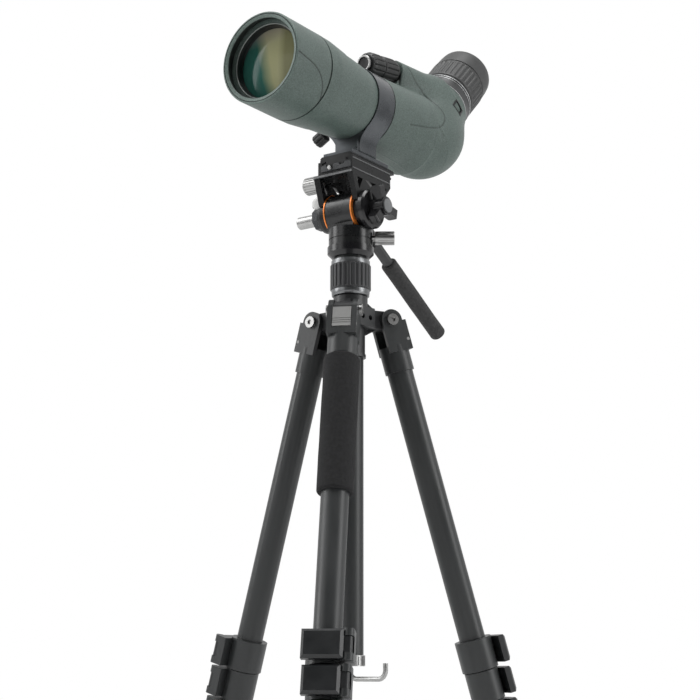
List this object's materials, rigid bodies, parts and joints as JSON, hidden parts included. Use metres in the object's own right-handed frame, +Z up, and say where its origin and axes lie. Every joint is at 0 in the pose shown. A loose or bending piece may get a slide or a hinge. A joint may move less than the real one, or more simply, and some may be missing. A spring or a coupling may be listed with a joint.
{
  "type": "spotting scope",
  "caption": "Angled field telescope with zoom eyepiece, rotating collar and plate, on a pan and tilt head and a folding tripod with telescoping legs.",
  "frame": {"origin": "point on the ground under the tripod's vertical axis", "axes": "+Z up along the centre column, -Y the way the objective points, +X to the left of a person at the eyepiece"},
  "size_m": [0.2752, 0.3975, 0.7677],
  "materials": {
    "armour": "satin moulded armour",
    "black_ring": "matte",
    "lens_glass": "coated",
    "collar_metal": "satin anodised",
    "grip_rubber": "ribbed matte",
    "head_black": "satin",
    "silver_metal": "turned",
    "orange_anodised": "anodised",
    "tube_black": "satin anodised",
    "casting": "satin",
    "foam": "closed-cell foam",
    "catch_grey": "moulded",
    "lever_black": "satin moulded"
  },
  "bodies": {
    "spider": {"spider": "casting", "hinge_bolts": "silver_metal"},
    "leg1": {"leg1_upper": "tube_black", "leg_foam_grip": "foam"},
    "leg1_catch": {"leg1_catch": "catch_grey"},
    "leg1_middle": {"leg1_middle": "tube_black"},
    "leg1_lower": {"leg1_lower": "tube_black"},
    "leg1_end": {"leg1_end": "tube_black"},
    "leg1_lever_1": {"leg1_lever_1": "lever_black"},
    "leg1_lever_2": {"leg1_lever_2": "lever_black"},
    "leg1_lever_3": {"leg1_lever_3": "lever_black"},
    "leg2": {"leg2_upper": "tube_black"},
    "leg2_catch": {"leg2_catch": "catch_grey"},
    "leg2_middle": {"leg2_middle": "tube_black"},
    "leg2_lower": {"leg2_lower": "tube_black"},
    "leg2_end": {"leg2_end": "tube_black"},
    "leg2_lever_1": {"leg2_lever_1": "lever_black"},
    "leg2_lever_2": {"leg2_lever_2": "lever_black"},
    "leg2_lever_3": {"leg2_lever_3": "lever_black"},
    "leg3": {"leg3_upper": "tube_black"},
    "leg3_catch": {"leg3_catch": "catch_grey"},
    "leg3_middle": {"leg3_middle": "tube_black"},
    "leg3_lower": {"leg3_lower": "tube_black"},
    "leg3_end": {"leg3_end": "tube_black"},
    "leg3_lever_1": {"leg3_lever_1": "lever_black"},
    "leg3_lever_2": {"leg3_lever_2": "lever_black"},
    "leg3_lever_3": {"leg3_lever_3": "lever_black"},
    "column": {"center_column": "tube_black", "pan_base": "head_black"},
    "twist_lock": {"twist_lock_ring": "grip_rubber"},
    "hook": {"ballast_hook": "casting"},
    "pan": {"head_body": "head_black", "accent_rings": "orange_anodised", "tilt_axle": "silver_metal", "handle_rod": "casting", "handle_grip": "foam"},
    "pan_lock": {"pan_lock_knob": "silver_metal"},
    "cradle": {"tilt_cradle": "head_black", "tripod_collar": "collar_metal", "dovetail_plate": "collar_metal"},
    "tilt_lock": {"tilt_lock_knob": "head_black"},
    "jaw": {"clamp_jaw": "head_black"},
    "clamp_knob": {"clamp_knob": "silver_metal"},
    "collar_knob": {"collar_lock_knob": "grip_rubber"},
    "telescope": {"objective_barrel": "armour", "lens_retaining_ring": "black_ring", "objective_doublet": "lens_glass", "prism_housing": "armour", "erecting_prism": "lens_glass", "focus_spindle": "black_ring", "eyepiece_barrel": "black_ring", "eyepiece_lenses": "lens_glass"},
    "hood": {"lens_hood": "armour"},
    "coarse_wheel": {"coarse_focus_wheel": "grip_rubber"},
    "fine_wheel": {"fine_focus_wheel": "grip_rubber"},
    "focus_cell": {"focusing_cell": "black_ring"},
    "zoom_ring": {"zoom_ring": "grip_rubber"},
    "zoom_cell": {"zoom_lens_cell": "black_ring"},
    "eyecup": {"eyecup": "grip_rubber"},
    "release_button": {"release_button": "head_black"}
  },
  "joints": [
    {"name": "leg1_fold", "type": "hinge", "parent": "spider", "child": "leg1", "pos_m": [0.01675, -0.03344, 0.42405], "axis": [0.8942, 0.4478, 0], "range_deg": [0, 16.1]},
    {"name": "leg1_catch_flip", "type": "hinge", "parent": "leg1", "child": "leg1_catch", "pos_m": [0.02436, -0.04863, 0.40711], "axis": [0.8942, 0.4478, 0], "range_deg": [0, 20], "stiffness_Nm_per_rad": 0.05},
    {"name": "leg1_middle_slide", "type": "slide", "parent": "leg1", "child": "leg1_middle", "axis": [0.1248, -0.2492, -0.9604], "range_m": [0, 0.235]},
    {"name": "leg1_lower_slide", "type": "slide", "parent": "leg1_middle", "child": "leg1_lower", "axis": [0.1248, -0.2492, -0.9604], "range_m": [0, 0.235]},
    {"name": "leg1_end_slide", "type": "slide", "parent": "leg1_lower", "child": "leg1_end", "axis": [0.1248, -0.2492, -0.9604], "range_m": [0, 0.235]},
    {"name": "leg1_lever_1_flip", "type": "hinge", "parent": "leg1", "child": "leg1_lever_1", "pos_m": [0.08434, -0.12152, 0.11467], "axis": [-0.1248, 0.2492, 0.9604], "range_deg": [0, 100]},
    {"name": "leg1_lever_2_flip", "type": "hinge", "parent": "leg1_middle", "child": "leg1_lever_2", "pos_m": [0.08607, -0.12832, 0.08568], "axis": [-0.1248, 0.2492, 0.9604], "range_deg": [0, 100]},
    {"name": "leg1_lever_3_flip", "type": "hinge", "parent": "leg1_lower", "child": "leg1_lever_3", "pos_m": [0.08773, -0.13499, 0.05717], "axis": [-0.1248, 0.2492, 0.9604], "range_deg": [0, 100]},
    {"name": "leg2_fold", "type": "hinge", "parent": "spider", "child": "leg2", "pos_m": [-0.03733, 0.00222, 0.42405], "axis": [-0.0593, -0.9982, 0], "range_deg": [0, 16.1]},
    {"name": "leg2_catch_flip", "type": "hinge", "parent": "leg2", "child": "leg2_catch", "pos_m": [-0.0543, 0.00323, 0.40711], "axis": [-0.0593, -0.9982, 0], "range_deg": [0, 20], "stiffness_Nm_per_rad": 0.05},
    {"name": "leg2_middle_slide", "type": "slide", "parent": "leg2", "child": "leg2_middle", "axis": [-0.2782, 0.0165, -0.9604], "range_m": [0, 0.235]},
    {"name": "leg2_lower_slide", "type": "slide", "parent": "leg2_middle", "child": "leg2_lower", "axis": [-0.2782, 0.0165, -0.9604], "range_m": [0, 0.235]},
    {"name": "leg2_end_slide", "type": "slide", "parent": "leg2_lower", "child": "leg2_end", "axis": [-0.2782, 0.0165, -0.9604], "range_m": [0, 0.235]},
    {"name": "leg2_lever_1_flip", "type": "hinge", "parent": "leg2", "child": "leg2_lever_1", "pos_m": [-0.14741, -0.01228, 0.11467], "axis": [0.2782, -0.0165, 0.9604], "range_deg": [0, 100]},
    {"name": "leg2_lever_2_flip", "type": "hinge", "parent": "leg2_middle", "child": "leg2_lever_2", "pos_m": [-0.15416, -0.01038, 0.08568], "axis": [0.2782, -0.0165, 0.9604], "range_deg": [0, 100]},
    {"name": "leg2_lever_3_flip", "type": "hinge", "parent": "leg2_lower", "child": "leg2_lever_3", "pos_m": [-0.16077, -0.00848, 0.05717], "axis": [0.2782, -0.0165, 0.9604], "range_deg": [0, 100]},
    {"name": "leg3_fold", "type": "hinge", "parent": "spider", "child": "leg3", "pos_m": [0.02059, 0.03122, 0.42405], "axis": [-0.8348, 0.5505, 0], "range_deg": [0, 16.1]},
    {"name": "leg3_catch_flip", "type": "hinge", "parent": "leg3", "child": "leg3_catch", "pos_m": [0.02994, 0.04541, 0.40711], "axis": [-0.8348, 0.5505, 0], "range_deg": [0, 20], "stiffness_Nm_per_rad": 0.05},
    {"name": "leg3_middle_slide", "type": "slide", "parent": "leg3", "child": "leg3_middle", "axis": [0.1534, 0.2326, -0.9604], "range_m": [0, 0.235]},
    {"name": "leg3_lower_slide", "type": "slide", "parent": "leg3_middle", "child": "leg3_lower", "axis": [0.1534, 0.2326, -0.9604], "range_m": [0, 0.235]},
    {"name": "leg3_end_slide", "type": "slide", "parent": "leg3_lower", "child": "leg3_end", "axis": [0.1534, 0.2326, -0.9604], "range_m": [0, 0.235]},
    {"name": "leg3_lever_1_flip", "type": "hinge", "parent": "leg3", "child": "leg3_lever_1", "pos_m": [0.06307, 0.1338, 0.11467], "axis": [-0.1534, -0.2326, 0.9604], "range_deg": [0, 100]},
    {"name": "leg3_lever_2_flip", "type": "hinge", "parent": "leg3_middle", "child": "leg3_lever_2", "pos_m": [0.0681, 0.1387, 0.08568], "axis": [-0.1534, -0.2326, 0.9604], "range_deg": [0, 100]},
    {"name": "leg3_lever_3_flip", "type": "hinge", "parent": "leg3_lower", "child": "leg3_lever_3", "pos_m": [0.07304, 0.14347, 0.05717], "axis": [-0.1534, -0.2326, 0.9604], "range_deg": [0, 100]},
    {"name": "column_slide", "type": "slide", "parent": "spider", "child": "column", "axis": [0, 0, 1], "range_m": [0, 0.24]},
    {"name": "twist_lock_turn", "type": "hinge", "parent": "spider", "child": "twist_lock", "pos_m": [0, 0, 0.46405], "axis": [0, 0, 1], "range_deg": [0, 120]},
    {"name": "hook_spin", "type": "hinge", "parent": "column", "child": "hook", "pos_m": [0, 0, 0.09805], "axis": [0, 0, 1], "range_deg": [-30, 30]},
    {"name": "pan_turn", "type": "hinge", "parent": "column", "child": "pan", "pos_m": [0, 0, 0.49905], "axis": [0, 0, 1], "continuous": true},
    {"name": "pan_lock_turn", "type": "hinge", "parent": "pan", "child": "pan_lock", "pos_m": [0, 0, 0.50525], "axis": [0.8161, 0.5779, 0], "range_deg": [0, 360]},
    {"name": "tilt", "type": "hinge", "parent": "pan", "child": "cradle", "pos_m": [0, 0, 0.53045], "axis": [1, 0, 0], "range_deg": [-45, 60]},
    {"name": "tilt_lock_turn", "type": "hinge", "parent": "pan", "child": "tilt_lock", "pos_m": [0.036, 0, 0.53045], "axis": [1, 0, 0], "range_deg": [0, 180]},
    {"name": "clamp_knob_turn", "type": "hinge", "parent": "cradle", "child": "clamp_knob", "pos_m": [-0.05, 0.006, 0.56955], "axis": [1, 0, 0], "range_deg": [0, 1440]},
    {"name": "clamp_jaw_slide", "type": "slide", "parent": "cradle", "child": "jaw", "axis": [-1, 0, 0], "range_m": [0, 0.0039]},
    {"name": "collar_knob_turn", "type": "hinge", "parent": "cradle", "child": "collar_knob", "pos_m": [-0.04091, 0.0085, 0.6195], "axis": [-0.8704, 0, -0.4924], "range_deg": [0, 360]},
    {"name": "telescope_roll", "type": "hinge", "parent": "cradle", "child": "telescope", "pos_m": [0, 0.0085, 0.64265], "axis": [0, 1, 0], "range_deg": [-90, 90]},
    {"name": "hood_slide", "type": "slide", "parent": "telescope", "child": "hood", "axis": [0, -1, 0], "range_m": [0, 0.035]},
    {"name": "coarse_focus_turn", "type": "hinge", "parent": "telescope", "child": "coarse_wheel", "pos_m": [0, 0.05997, 0.69993], "axis": [0, 0.9888, 0.1495], "range_deg": [-180, 180]},
    {"name": "fine_focus_turn", "type": "hinge", "parent": "telescope", "child": "fine_wheel", "pos_m": [0, 0.03525, 0.69619], "axis": [0, 0.9888, 0.1495], "range_deg": [-540, 540]},
    {"name": "focus_cell_slide", "type": "slide", "parent": "telescope", "child": "focus_cell", "axis": [0, -1, 0], "range_m": [-0.0087, 0.0087]},
    {"name": "zoom_turn", "type": "hinge", "parent": "telescope", "child": "zoom_ring", "pos_m": [0, 0.18897, 0.71651], "axis": [0, 0.704, 0.7102], "range_deg": [0, 110]},
    {"name": "zoom_cell_slide", "type": "slide", "parent": "telescope", "child": "zoom_cell", "axis": [0, 0.704, 0.7102], "range_m": [0, 0.011]},
    {"name": "eyecup_slide", "type": "slide", "parent": "telescope", "child": "eyecup", "axis": [0, 0.704, 0.7102], "range_m": [0, 0.01]},
    {"name": "release_button_press", "type": "slide", "parent": "telescope", "child": "release_button", "axis": [1, 0, 0], "range_m": [-0.0012, 0], "stiffness_N_per_m": 800, "springref_m": 0.0003}
  ],
  "couplings": [
    {"joint": "clamp_knob_turn", "follows": "clamp_jaw_slide", "rad_per_m": 6283.2},
    {"joint": "coarse_focus_turn", "follows": "focus_cell_slide", "rad_per_m": 357.14},
    {"joint": "zoom_turn", "follows": "zoom_cell_slide", "rad_per_m": 172.41}
  ]
}
